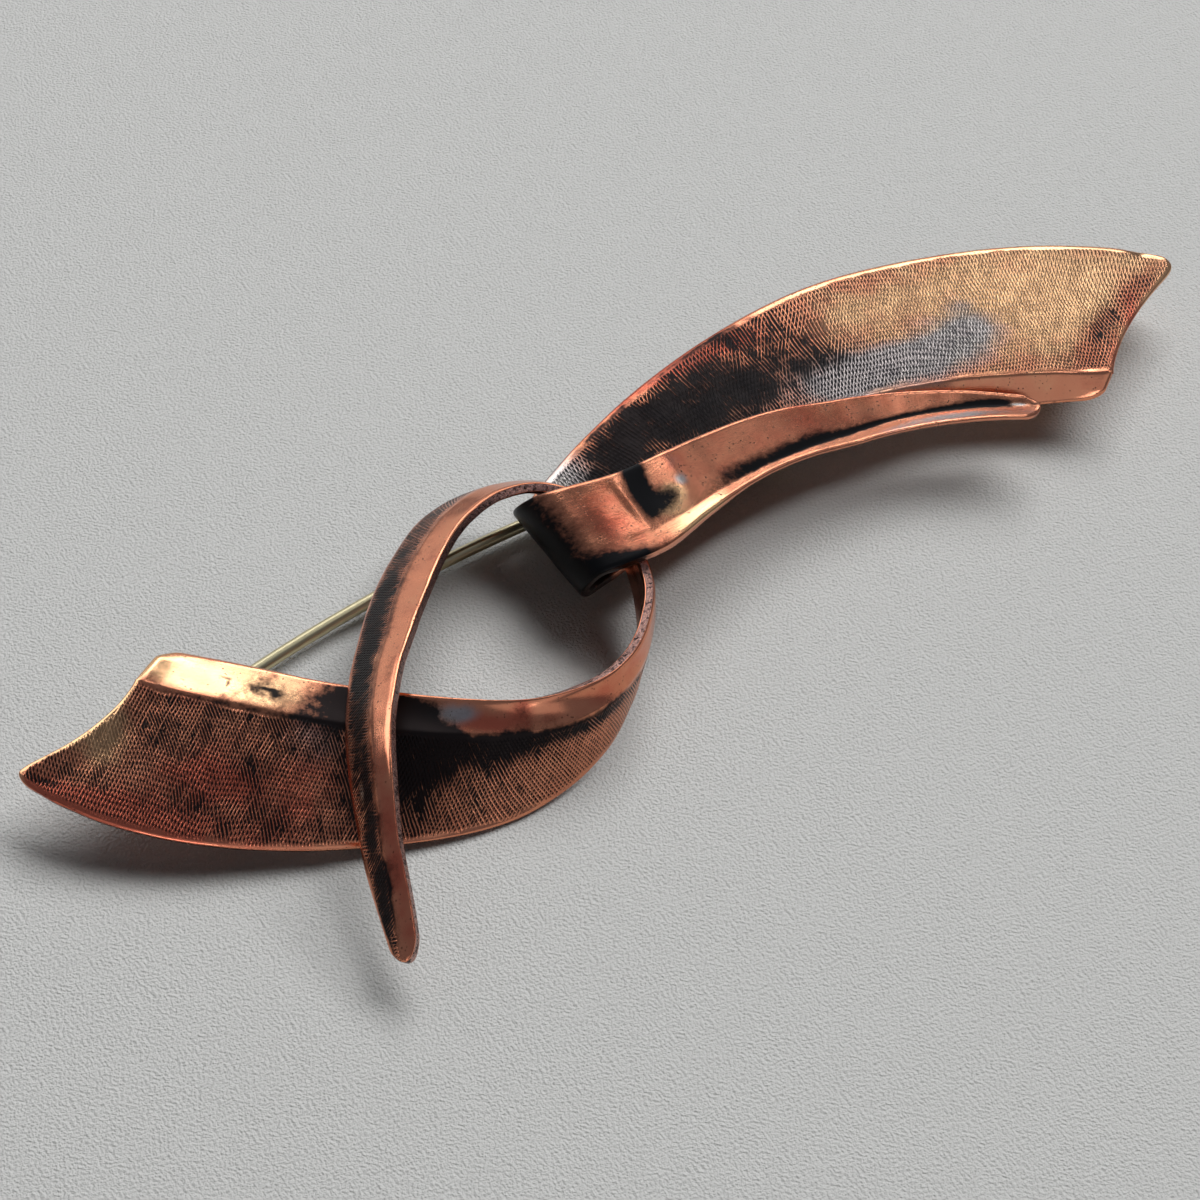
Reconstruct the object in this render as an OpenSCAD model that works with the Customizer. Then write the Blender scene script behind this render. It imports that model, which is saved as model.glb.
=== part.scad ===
// Abstract brooch: two creased copper ribbons looped through each other, with a pin on the back.
// It lies face up on its back, as on a table. X runs along the brooch, towards the broad right end,
// Y away from the wearer's lower edge and Z up from the surface that it lies on.

/* [Ribbons] */
// Length of the brooch from the left tip to the right tip
length = 101; // [97:0.5:106]
// Thickness of the copper sheet
sheet = 0.85; // [0.7:0.05:0.9]
// Thickness of the sheet at its hammered outer edge
thin_edge = 0.55; // [0.4:0.05:0.7]
// Height that the lip of each hollowed end turns up
lip = 0.35; // [0:0.05:0.6]
// Depth of the hollow in each broad end, as a part of its reach
hollow = 1; // [0.5:0.05:1]

/* [Pin] */
// Diameter of the stem's wire
wire_d = 1; // [0.8:0.05:1.1]
// Radius of the slow bow that the stem is bent to
bow_r = 120; // [115:5:160]
// Length of the stem's sharpened point
point_l = 5; // [3:0.5:7]
// Diameter of the hinge rivet
rivet_d = 0.8; // [0.6:0.05:0.9]
// Gap between the stem's eye and the rivet
running_gap = 0.05; // [0.03:0.01:0.08]
// Gap between the wire and each cheek of the catch
catch_gap = 0.06; // [0.04:0.01:0.12]

/* [Hidden] */
$fn = 48;

copper = [0.72, 0.42, 0.29];
brass = [0.78, 0.68, 0.38];

// The tables are drawn for a brooch of this length
drawn_length = 101;
scale_k = length / drawn_length;

// Columns of a ribbon's table. x, y and z place the crease on the front of the sheet, face is the
// bearing of the textured side from the crease, roll tips that side down, out and in are the widths
// of the textured and the smooth side, fold is the angle that the crease is folded by, and curl the
// angle that the smooth side curves up by on its way to the rim.
X = 0;
Y = 1;
Z = 2;
FACE = 3;
ROLL = 4;
OUT = 5;
IN = 6;
FOLD = 7;
CURL = 8;

// From the left tip round the loop to the tail that lies across the ribbon's own broad end
looped_rows = [
    [-45.0,  13.0, 6.9, -134,  5,  8.8, 3.6, 24,  0],
    [-40.2,   8.3, 6.6, -134,  6, 10.4, 3.7, 25,  0],
    [-35.3,   3.7, 6.1, -134,  8, 10.5, 3.8, 26,  0],
    [-30.3,  -0.5, 5.3, -131, 14,  9.4, 3.4, 24, 10],
    [-25.0,  -4.4, 4.7, -126, 23,  7.8, 3.0, 21, 30],
    [-20.3,  -7.3, 4.5, -116, 37,  6.4, 2.5, 18, 45],
    [-16.6,  -8.7, 4.4, -103, 53,  5.1, 2.2, 16, 50],
    [-12.8,  -9.0, 4.4,  -84, 72,  4.2, 2.1, 16, 40],
    [ -9.6,  -8.0, 4.4,  -62, 86,  3.8, 2.0, 16, 20],
    [ -6.8,  -5.9, 4.4,  -46, 93,  3.5, 2.0, 16,  0],
    [ -4.4,  -2.7, 4.5,  -30, 97,  3.2, 1.9, 16,  0],
    [ -3.0,   1.2, 4.6,  -12, 92,  2.7, 1.8, 16,  0],
    [ -2.8,   5.2, 4.8,    6, 80,  2.1, 1.8, 16,  0],
    [ -3.7,   9.1, 5.1,   28, 64,  2.2, 1.8, 16,  0],
    [ -6.0,  11.9, 5.3,   54, 50,  2.5, 1.9, 16,  0],
    [ -9.4,  13.1, 5.4,   85, 40,  3.0, 2.1, 17,  0],
    [-13.0,  12.3, 5.6,  112, 33,  3.3, 2.1, 18,  0],
    [-16.3,  10.2, 5.8,  129, 31,  3.2, 2.1, 18,  0],
    [-19.6,   7.1, 6.3,  139, 28,  3.1, 2.1, 18,  0],
    [-22.7,   3.3, 7.1,  143, 28,  3.1, 1.8, 18,  0],
    [-25.7,  -0.5, 7.7,  146, 32,  3.1, 1.6, 19,  0],
    [-28.4,  -4.7, 8.0,  151, 38,  3.1, 1.5, 22,  0],
    [-30.4,  -9.0, 7.5,  157, 44,  3.1, 1.3, 22,  0],
    [-32.0, -13.0, 6.0,  160, 44,  2.7, 1.1, 22,  0],
    [-33.3, -16.9, 4.3,  162, 38,  1.8, 1.1, 22,  0],
    [-34.4, -20.1, 3.2,  163, 32,  1.1, 0.9, 22,  0]
];

// From the broad right end to the fold that hooks round the loop
broad_rows = [
    [42.9, -3.7, 4.9,  53, -25, 13.7, 2.0, 52, 0],
    [38.4, -0.7, 4.8,  55, -25, 15.0, 2.1, 52, 0],
    [33.1,  2.4, 4.8,  61, -25, 15.1, 2.5, 52, 0],
    [27.0,  5.3, 4.7,  70, -25, 14.3, 2.9, 52, 0],
    [20.6,  7.1, 4.7,  78, -25, 13.1, 3.1, 50, 0],
    [14.1,  8.1, 4.5,  84, -23, 11.4, 3.0, 46, 0],
    [ 7.5,  8.2, 4.0,  93, -19,  9.6, 2.9, 38, 0],
    [ 2.0,  7.4, 3.3, 101, -12,  8.5, 2.8, 26, 0],
    [-2.0,  6.4, 2.6, 103,  -6,  7.8, 2.6, 12, 0]
];

// The fold itself, a half turn round a bar along Y: a row for each eighth of a turn. Its columns are
// y of the crease, roll, out, in and fold.
turn_x = -5.3;
turn_z = 4.5;
turn_r = 2.2;
turn_face = 94;
turn_rows = [
    [5.6, -3, 7.3, 2.5, 4],
    [4.7, -3, 7.1, 2.5, 2],
    [3.7, -4, 6.8, 2.4, 2],
    [2.7, -6, 6.4, 2.2, 2],
    [1.9, -9, 6.0, 2.1, 4]
];

// Back over the loop as a narrow band, whose textured side faces down, to the band's tip
band_rows = [
    [-1.6,  1.7, 6.5, 94, -9, 5.5, 1.9, 14, 0],
    [ 2.6,  2.4, 6.2, 96, -8, 5.1, 1.4, 22, 0],
    [ 7.2,  3.4, 5.6, 97, -6, 4.7, 1.1, 27, 0],
    [11.9,  4.0, 5.0, 91, -6, 4.2, 1.1, 30, 0],
    [16.7,  4.0, 4.4, 87, -7, 3.4, 1.3, 36, 0],
    [21.4,  3.7, 4.0, 78, -8, 2.6, 1.5, 44, 0],
    [25.9,  2.3, 3.9, 67, -8, 2.0, 1.6, 52, 0],
    [29.5,  0.5, 3.9, 61, -8, 1.5, 1.6, 56, 0],
    [31.4, -0.7, 3.9, 59, -8, 1.3, 1.5, 56, 0]
];

turned_rows = [
    for (i = [0 : len(turn_rows) - 1])
        let (a = -90 - 45 * i, t = turn_rows[i])
            [turn_x + turn_r * cos(a), t[0], turn_z + turn_r * sin(a), turn_face, t[1], t[2], t[3], t[4], 0]
];

folded_rows = concat(broad_rows, turned_rows, band_rows);

// Longest step between two stations along a ribbon, and the fewest steps between two rows
station_step = 1.4;
fewest_steps = 3;

// Places across a ribbon: -1 is the rim of the smooth side, 0 the crease, 1 the textured edge
across = [-1, -0.9, -0.68, -0.34, 0, 0.22, 0.44, 0.64, 0.8, 0.9, 0.95, 0.985, 1];

// Rows over which the shape of an end fades out, and the part of a row that a tip is rounded by
broad_fade = 4;
tip_fade = 2;
tip_round = 0.35;
lip_reach = 0.45;

function unit(v) = v / norm(v);
function last(list) = len(list) - 1;

// Smooth curve through a table's rows, and its direction
function row_at(t, i) =
    i < 0 ? 2 * t[0] - t[1] : i > last(t) ? 2 * t[last(t)] - t[last(t) - 1] : t[i];
function span(t, u) = max(0, min(floor(u), last(t) - 1));
function bend(t, i) =
    row_at(t, i - 1) - 2.5 * row_at(t, i) + 2 * row_at(t, i + 1) - 0.5 * row_at(t, i + 2);
function twist(t, i) =
    1.5 * (row_at(t, i) - row_at(t, i + 1)) + 0.5 * (row_at(t, i + 2) - row_at(t, i - 1));
function along(t, u) =
    let (i = span(t, u), f = u - i)
        row_at(t, i) + f / 2 * (row_at(t, i + 1) - row_at(t, i - 1)) + f * f * bend(t, i)
        + f * f * f * twist(t, i);
function heading(t, u) =
    let (i = span(t, u), f = u - i)
        (row_at(t, i + 1) - row_at(t, i - 1)) / 2 + 2 * f * bend(t, i) + 3 * f * f * twist(t, i);

function place(row) = [row[X], row[Y], row[Z]];

// Outline of a broad end: a hollow between the crease corner and the long outer tip, which is
// rounded, with a round corner on the smooth side
outer_tip = 0.9;
tip_reach = 0.93;
smooth_corner = 0.7;
function quarter(f) = 1 - sqrt(max(0, 1 - f * f));
function broad_cut(v) =
    v > outer_tip ? hollow * (1 - tip_reach) + 0.22 * quarter((v - outer_tip) / (1 - outer_tip))
    : v > 0 ? hollow * (1 - tip_reach * pow(v / outer_tip, 1.5))
    : hollow - 0.12 * v + 0.28 * quarter(max(0, (-v - smooth_corner) / (1 - smooth_corner)));
function fade(f) = pow(max(0, 1 - f), 2);
function station(t, base, v) =
    base + broad_cut(v) * fade(base / broad_fade)
    - tip_round * quarter(v) * fade((last(t) - base) / tip_fade);

// A point on the front of the sheet
function front(t, base, v) =
    let (
        u = station(t, base, v),
        row = along(t, u),
        run = unit(place(heading(t, u))),
        side = [cos(row[ROLL]) * cos(row[FACE]), cos(row[ROLL]) * sin(row[FACE]), -sin(row[ROLL])],
        up = unit(cross(side, run)),
        reach = v > 0 ? row[OUT] * v : row[IN] * v,
        curl = v < 0 ? row[CURL] * (1 + v) / 2 : 0,
        dip = row[FOLD] / 2 + curl
    )
        scale_k * (place(row) + reach * cos(dip) * side - abs(reach) * sin(dip) * up)
        + lip * fade((u - broad_cut(v)) / lip_reach) * up;

function bases(t) = concat([
    for (i = [0 : last(t) - 1])
        let (n = max(fewest_steps, ceil(norm(place(t[i + 1]) - place(t[i])) / station_step)))
            for (s = [0 : n - 1]) i + s / n
], [last(t)]);

function front_grid(t) = [for (b = bases(t)) [for (v = across) front(t, b, v)]];

// The back lies a sheet's thickness behind the front
function near(list, i) = list[max(0, min(last(list), i))];
function back_grid(grid) = [
    for (i = [0 : last(grid)]) [
        for (j = [0 : last(across)])
            let (
                ahead = near(grid, i + 1)[j] - near(grid, i - 1)[j],
                outward = near(grid[i], j + 1) - near(grid[i], j - 1),
                thick = sheet + (thin_edge - sheet) * max(0, across[j])
            )
                grid[i][j] - thick * unit(cross(outward, ahead))
    ]
];

looped_front = front_grid(looped_rows);
folded_front = front_grid(folded_rows);
looped_back = back_grid(looped_front);
folded_back = back_grid(folded_front);

// The brooch is moved so that it rests on z = 0 with its middle over the origin
function flat(grid) = [for (line = grid) each line];
all_points = concat(flat(looped_front), flat(folded_front), flat(looped_back), flat(folded_back));
function low(axis) = min([for (p = all_points) p[axis]]);
function high(axis) = max([for (p = all_points) p[axis]]);
middle = [(low(X) + high(X)) / 2, (low(Y) + high(Y)) / 2, low(Z)];

// The stem's bow: a circle whose top lies here, in the tables' frame
bow_top = [-6, 12.3];
hinge_x = 14;
catch_x = -37;
stem_end_x = -42.5;
function bow_angle(x) = asin((x - bow_top[0]) * scale_k / bow_r);
bow_centre = [bow_top[0] * scale_k, bow_top[1] * scale_k - bow_r];
function bow_point(x) = bow_centre + bow_r * [sin(bow_angle(x)), cos(bow_angle(x))];

// Heights of the hinge's axis and of the solder seats under the two ribbons
axis_z = 1.05;
eye_r = 0.9;
eye_w = 1.6;
ear_w = 2;
ear_t = 0.7;
side_gap = 0.12;
plate_t = 0.5;
plate_l = 5;
plate_tilt = 3.4;
pad_tilt = 7.5;
seat_gap = 0.05;
hinge_seat = 4.48 * scale_k - sheet - seat_gap - middle[Z];
catch_seat = 6.2 * scale_k - sheet - seat_gap - middle[Z];
rivet_head_r = 0.7;
rivet_head_t = 0.25;
ear_gap = 0.02;
pad_r = 1.5;
cheek_t = 0.42;
cheek_l = 2.4;
point_lap = 0.3;
point_start = 0.95;
point_end = 0.15;
overrun = 1;

module ribbon(front_side, back_side) {
    lines = len(front_side);
    places = len(across);
    half = lines * places;
    function f(i, j) = i * places + j;
    function b(i, j) = half + f(i, j);
    function patch(p, q, r, s) = [[p, r, q], [p, s, r]];
    faces = [
        for (i = [0 : lines - 2]) for (j = [0 : places - 2])
            each concat(
                patch(f(i, j), f(i, j + 1), f(i + 1, j + 1), f(i + 1, j)),
                patch(b(i, j), b(i + 1, j), b(i + 1, j + 1), b(i, j + 1))
            ),
        for (i = [0 : lines - 2])
            each concat(
                patch(f(i, 0), f(i + 1, 0), b(i + 1, 0), b(i, 0)),
                patch(f(i + 1, places - 1), f(i, places - 1), b(i, places - 1), b(i + 1, places - 1))
            ),
        for (j = [0 : places - 2])
            each concat(
                patch(f(0, j + 1), f(0, j), b(0, j), b(0, j + 1)),
                patch(f(lines - 1, j), f(lines - 1, j + 1), b(lines - 1, j + 1), b(lines - 1, j))
            )
    ];
    translate(-middle)
        polyhedron(points = concat(flat(front_side), flat(back_side)), faces = faces, convexity = 10);
}

module looped_ribbon() {
    color(copper) ribbon(looped_front, looped_back);
}

module folded_ribbon() {
    color(copper) ribbon(folded_front, folded_back);
}

// Stands on the stem's bow at x, turned so that local X runs along the wire
module on_bow(x) {
    translate([bow_point(x)[0] - middle[X], bow_point(x)[1] - middle[Y], 0])
        rotate([0, 0, -bow_angle(x)])
            children();
}

module across_wire(r, l) {
    rotate([90, 0, 0]) cylinder(r = r, h = l, center = true);
}

// A soldered plate with two ears, which the rivet passes through
module pin_hinge() {
    span = eye_w + 2 * side_gap;
    color(brass) on_bow(hinge_x)
        difference() {
            union() {
                translate([0, 0, hinge_seat - plate_t / 2]) rotate([0, -plate_tilt, 0])
                    cube([plate_l, span + 2 * ear_t, plate_t], center = true);
                for (y = [-span / 2 - ear_t, span / 2])
                    translate([-ear_w / 2, y, 0]) cube([ear_w, ear_t, hinge_seat - plate_t / 2]);
            }
            translate([0, 0, axis_z]) across_wire(rivet_d / 2 + ear_gap, span + 4 * ear_t);
        }
}

module hinge_rivet() {
    reach = eye_w + 2 * side_gap + 2 * ear_t + 2 * ear_gap;
    color(brass) on_bow(hinge_x) translate([0, 0, axis_z]) {
        across_wire(rivet_d / 2, reach + rivet_head_t);
        for (s = [-1, 1])
            translate([0, s * (reach + rivet_head_t) / 2, 0]) across_wire(rivet_head_r, rivet_head_t);
    }
}

// Bowed wire with an eye round the rivet and a sharp point
module pin_stem() {
    tip_angle = bow_angle(stem_end_x + point_l);
    root_angle = bow_angle(hinge_x);
    color(brass) difference() {
        union() {
            translate([bow_centre[0] - middle[X], bow_centre[1] - middle[Y], axis_z])
                rotate([0, 0, 90 - root_angle])
                    rotate_extrude(angle = root_angle - tip_angle, $fn = 720)
                        translate([bow_r, 0]) circle(d = wire_d, $fn = 32);
            on_bow(stem_end_x + point_l) translate([point_lap, 0, axis_z])
                rotate([0, -90, 0])
                    cylinder(d1 = wire_d * point_start, d2 = wire_d * point_end, h = point_l + point_lap);
            on_bow(hinge_x) translate([0, 0, axis_z]) across_wire(eye_r, eye_w);
        }
        on_bow(hinge_x) translate([0, 0, axis_z])
            across_wire(rivet_d / 2 + running_gap, eye_w + overrun);
    }
}

// A soldered pad with a fork of two cheeks, which the stem springs up into from below
module pin_catch() {
    slot = wire_d + 2 * catch_gap;
    color(brass) on_bow(catch_x)
        difference() {
            union() {
                translate([0, 0, catch_seat]) rotate([0, pad_tilt, 0])
                    translate([0, 0, -plate_t]) cylinder(r = pad_r, h = plate_t);
                translate([-cheek_l / 2, -slot / 2 - cheek_t, 0])
                    cube([cheek_l, slot + 2 * cheek_t, catch_seat - plate_t / 2]);
            }
            translate([0, 0, axis_z]) rotate([0, 90, 0])
                cylinder(d = slot, h = cheek_l + overrun, center = true);
            translate([-cheek_l / 2 - overrun / 2, -slot / 2, -overrun])
                cube([cheek_l + overrun, slot, axis_z + overrun]);
        }
}

looped_ribbon();
folded_ribbon();
pin_hinge();
hinge_rivet();
pin_stem();
pin_catch();
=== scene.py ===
"""Abstract brooch: two creased copper ribbons looped through each other, with a pin on the back.

The ribbons are modelled over the solids they stand for, the pin's parts keep theirs and get a
finish. Lengths in the tables are millimetres, in the frame that the part's source draws them in.
"""
import math

import bpy
import numpy as np
from bpy.props import FloatProperty, FloatVectorProperty, IntProperty, PointerProperty
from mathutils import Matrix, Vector


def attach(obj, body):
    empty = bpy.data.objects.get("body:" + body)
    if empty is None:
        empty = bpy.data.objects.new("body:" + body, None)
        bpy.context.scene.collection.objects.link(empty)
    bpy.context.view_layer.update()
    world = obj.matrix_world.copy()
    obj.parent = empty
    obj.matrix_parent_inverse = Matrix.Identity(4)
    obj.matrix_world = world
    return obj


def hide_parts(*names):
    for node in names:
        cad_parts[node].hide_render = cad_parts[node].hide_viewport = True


bl_info = {
    "name": "Abstract ribbon brooch",
    "version": (1, 0, 0),
    "blender": (4, 5, 0),
    "location": "View3D > Sidebar > Brooch",
    "description": "Two looped copper ribbons with a hatched, oxidised side, and the pin behind them",
    "category": "Mesh",
}

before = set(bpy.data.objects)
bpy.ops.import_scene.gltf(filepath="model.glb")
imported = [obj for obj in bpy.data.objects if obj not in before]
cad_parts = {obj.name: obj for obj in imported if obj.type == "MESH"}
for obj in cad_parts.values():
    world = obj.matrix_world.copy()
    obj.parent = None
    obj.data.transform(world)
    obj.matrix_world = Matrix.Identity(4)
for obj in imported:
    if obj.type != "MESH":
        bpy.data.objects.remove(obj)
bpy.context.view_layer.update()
MM = 0.001

# Columns of a ribbon's table: the crease's place, bearing and roll of the textured side, widths of
# the textured and the smooth side, angle of the crease, and curl of the smooth side
FACE, ROLL, OUT, IN, FOLD, CURL = range(3, 9)

# From the left tip round the loop to the tail that lies across the ribbon's own broad end
LOOPED_ROWS = np.array([
    [-45.0, 13.0, 6.9, -134, 5, 8.8, 3.6, 24, 0],
    [-40.2, 8.3, 6.6, -134, 6, 10.4, 3.7, 25, 0],
    [-35.3, 3.7, 6.1, -134, 8, 10.5, 3.8, 26, 0],
    [-30.3, -0.5, 5.3, -131, 14, 9.4, 3.4, 24, 10],
    [-25.0, -4.4, 4.7, -126, 23, 7.8, 3.0, 21, 30],
    [-20.3, -7.3, 4.5, -116, 37, 6.4, 2.5, 18, 45],
    [-16.6, -8.7, 4.4, -103, 53, 5.1, 2.2, 16, 50],
    [-12.8, -9.0, 4.4, -84, 72, 4.2, 2.1, 16, 40],
    [-9.6, -8.0, 4.4, -62, 86, 3.8, 2.0, 16, 20],
    [-6.8, -5.9, 4.4, -46, 93, 3.5, 2.0, 16, 0],
    [-4.4, -2.7, 4.5, -30, 97, 3.2, 1.9, 16, 0],
    [-3.0, 1.2, 4.6, -12, 92, 2.7, 1.8, 16, 0],
    [-2.8, 5.2, 4.8, 6, 80, 2.1, 1.8, 16, 0],
    [-3.7, 9.1, 5.1, 28, 64, 2.2, 1.8, 16, 0],
    [-6.0, 11.9, 5.3, 54, 50, 2.5, 1.9, 16, 0],
    [-9.4, 13.1, 5.4, 85, 40, 3.0, 2.1, 17, 0],
    [-13.0, 12.3, 5.6, 112, 33, 3.3, 2.1, 18, 0],
    [-16.3, 10.2, 5.8, 129, 31, 3.2, 2.1, 18, 0],
    [-19.6, 7.1, 6.3, 139, 28, 3.1, 2.1, 18, 0],
    [-22.7, 3.3, 7.1, 143, 28, 3.1, 1.8, 18, 0],
    [-25.7, -0.5, 7.7, 146, 32, 3.1, 1.6, 19, 0],
    [-28.4, -4.7, 8.0, 151, 38, 3.1, 1.5, 22, 0],
    [-30.4, -9.0, 7.5, 157, 44, 3.1, 1.3, 22, 0],
    [-32.0, -13.0, 6.0, 160, 44, 2.7, 1.1, 22, 0],
    [-33.3, -16.9, 4.3, 162, 38, 1.8, 1.1, 22, 0],
    [-34.4, -20.1, 3.2, 163, 32, 1.1, 0.9, 22, 0],
])

# From the broad right end to the fold that hooks round the loop
BROAD_ROWS = np.array([
    [42.9, -3.7, 4.9, 53, -25, 13.7, 2.0, 52, 0],
    [38.4, -0.7, 4.8, 55, -25, 15.0, 2.1, 52, 0],
    [33.1, 2.4, 4.8, 61, -25, 15.1, 2.5, 52, 0],
    [27.0, 5.3, 4.7, 70, -25, 14.3, 2.9, 52, 0],
    [20.6, 7.1, 4.7, 78, -25, 13.1, 3.1, 50, 0],
    [14.1, 8.1, 4.5, 84, -23, 11.4, 3.0, 46, 0],
    [7.5, 8.2, 4.0, 93, -19, 9.6, 2.9, 38, 0],
    [2.0, 7.4, 3.3, 101, -12, 8.5, 2.8, 26, 0],
    [-2.0, 6.4, 2.6, 103, -6, 7.8, 2.6, 12, 0],
])

# The fold, a half turn round a bar along Y: a row for each eighth of a turn, with the crease's y,
# roll, out, in and fold
TURN_X = -5.3
TURN_Z = 4.5
TURN_R = 2.2
TURN_FACE = 94
TURN_ROWS = [
    [5.6, -3, 7.3, 2.5, 4],
    [4.7, -3, 7.1, 2.5, 2],
    [3.7, -4, 6.8, 2.4, 2],
    [2.7, -6, 6.4, 2.2, 2],
    [1.9, -9, 6.0, 2.1, 4],
]

# Back over the loop as a narrow band, whose textured side faces down, to the band's tip
BAND_ROWS = np.array([
    [-1.6, 1.7, 6.5, 94, -9, 5.5, 1.9, 14, 0],
    [2.6, 2.4, 6.2, 96, -8, 5.1, 1.4, 22, 0],
    [7.2, 3.4, 5.6, 97, -6, 4.7, 1.1, 27, 0],
    [11.9, 4.0, 5.0, 91, -6, 4.2, 1.1, 30, 0],
    [16.7, 4.0, 4.4, 87, -7, 3.4, 1.5, 36, 0],
    [21.4, 3.7, 4.0, 78, -8, 2.6, 1.9, 44, 0],
    [25.9, 2.3, 3.9, 67, -8, 2.0, 2.2, 52, 0],
    [29.5, 0.5, 3.9, 61, -8, 1.5, 2.3, 56, 0],
    [31.4, -0.7, 3.9, 59, -8, 1.3, 2.2, 56, 0],
])


def turned_rows():
    """The fold's rows, worked out round its bar."""
    rows = []
    for i, (y, roll, out, smooth, fold) in enumerate(TURN_ROWS):
        a = math.radians(-90 - 45 * i)
        x = TURN_X + TURN_R * math.cos(a)
        z = TURN_Z + TURN_R * math.sin(a)
        rows.append([x, y, z, TURN_FACE, roll, out, smooth, fold, 0])
    return np.array(rows)


FOLDED_ROWS = np.concatenate([BROAD_ROWS, turned_rows(), BAND_ROWS])

# The tables' point that lies over the origin, on the surface that the brooch rests on
MIDDLE = np.array([0.0343844, -0.0933794, -0.475274])

# Stains, worn places, painted shade, painted highlights and painted reflections of each ribbon:
# distance along the crease and across it, reach along and across, then how much black (oxide and
# painted shade), red (below 0 gold) and blue-grey (patina and painted reflection) it adds
LOOPED_STAINS_AND_PAINTED_LIGHT = [
    [15.0, 5.5, 12.0, 6.0, 0.35, 0.4, 0.0],
    [5.6, 4.4, 2.4, 3.0, 0.0, -1.1, 0.0],
    [9.6, 2.4, 3.6, 2.0, 0.6, 0.0, 0.1],
    [14.0, 5.8, 3.4, 1.3, -0.2, 0.9, 0.0],
    [16.0, 8.0, 4.6, 1.0, 0.5, 0.0, 0.0],
    [16.8, 4.0, 1.8, 1.2, 0.6, 0.0, 0.1],
    [2.6, 8.5, 1.6, 0.35, 1.1, 0.0, 0.0],
    [5.0, 7.5, 1.6, 0.4, 0.9, 0.0, 0.0],
    [3.0, 9.6, 5.0, 1.2, -0.1, 1.2, 0.0],
    [10.0, 9.4, 6.0, 1.6, 0.0, 1.0, 0.0],
    [11.0, 0.4, 9.0, 0.6, 0.6, 0.6, 0.0],
    [19.8, 1.4, 3.0, 1.6, 0.5, 0.0, 0.5],
    [20.2, 5.2, 1.8, 2.4, -0.5, 0.3, 0.0],
    # Clean polished strip near the tip, gold tinted where its highlight falls: partly a painted
    # highlight
    [8.0, -1.6, 6.0, 1.8, -0.7, -1.0, 0.0],
    # Oxide film and gold tint past the strip's highlight: painted shade where the highlight fades
    [15.5, -1.6, 4.0, 2.0, 0.65, -0.9, 0.0],
    [12.5, -2.1, 0.5, 0.12, 0.7, 0.4, 0.0],
    [12.9, -1.6, 0.15, 0.4, 0.7, 0.4, 0.0],
    [15.9, -1.8, 0.6, 0.15, 0.5, 0.4, 0.0],
    [16.5, -1.4, 0.4, 0.25, 0.5, 0.4, 0.0],
    [20.3, -1.8, 1.4, 1.8, 0.6, 0.2, 0.0],
    # Black where the arm crosses over the strip: a painted shadow
    [21.6, -1.8, 1.0, 2.0, 1.0, 0.0, 0.0],
    # This row and the next: black and blue-grey right of the tail, patina with the tail's dark
    # reflection painted in
    [25.6, 2.4, 3.6, 3.0, 1.5, -0.3, 0.2],
    [24.5, 5.8, 2.2, 2.0, 1.2, 0.0, 0.1],
    # Black on the strip under the tail: oxide with the tail's shadow painted in
    [25.6, -1.3, 2.6, 1.8, 1.5, 0.0, 0.2],
    # Blue-grey along the strip's upper edge: a painted reflection
    [29.4, -1.6, 1.6, 0.7, 0.0, 0.0, 1.2],
    # Red tint with less oxide: the lower arc's painted highlight
    [31.6, -0.9, 2.2, 0.8, -0.2, 1.2, 0.0],
    [34.4, -1.6, 0.7, 1.6, 0.6, 0.8, 0.0],
    [36.5, -0.6, 1.2, 0.4, 0.4, 0.4, 0.0],
    [31.5, 1.2, 4.6, 1.6, 1.2, 0.0, 0.2],
    [38.0, 0.7, 7.0, 0.7, 0.9, 0.0, 0.3],
    [30.5, 4.2, 4.0, 2.0, 0.25, 0.0, 0.0],
    [47.0, 0.8, 8.0, 0.8, 0.6, 0.0, 0.2],
    [42.0, -1.0, 5.0, 1.2, 0.0, 0.5, 0.0],
    [68.0, 2.4, 8.0, 1.4, 0.8, 0.1, 0.2],
    [76.0, 1.8, 6.0, 1.8, 0.7, 0.1, 0.2],
    [85.5, 1.7, 6.5, 1.5, 1.3, 0.1, 0.1],
    [94.5, 1.5, 6.0, 1.3, 1.3, 0.0, 0.1],
    [104.0, 1.3, 6.0, 1.1, 1.3, 0.0, 0.1],
    [111.0, 0.9, 4.0, 0.8, 1.2, 0.0, 0.1],
    [100.0, 3.3, 16.0, 0.5, -0.9, 0.8, 0.0],
    [92.5, -0.9, 1.6, 0.4, 0.5, 0.2, 0.0],
    [102.0, 1.7, 0.9, 0.3, -0.5, -1.0, 0.6],
    [108.0, -0.6, 9.0, 1.0, 0.1, 0.8, 0.0],
]
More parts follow.
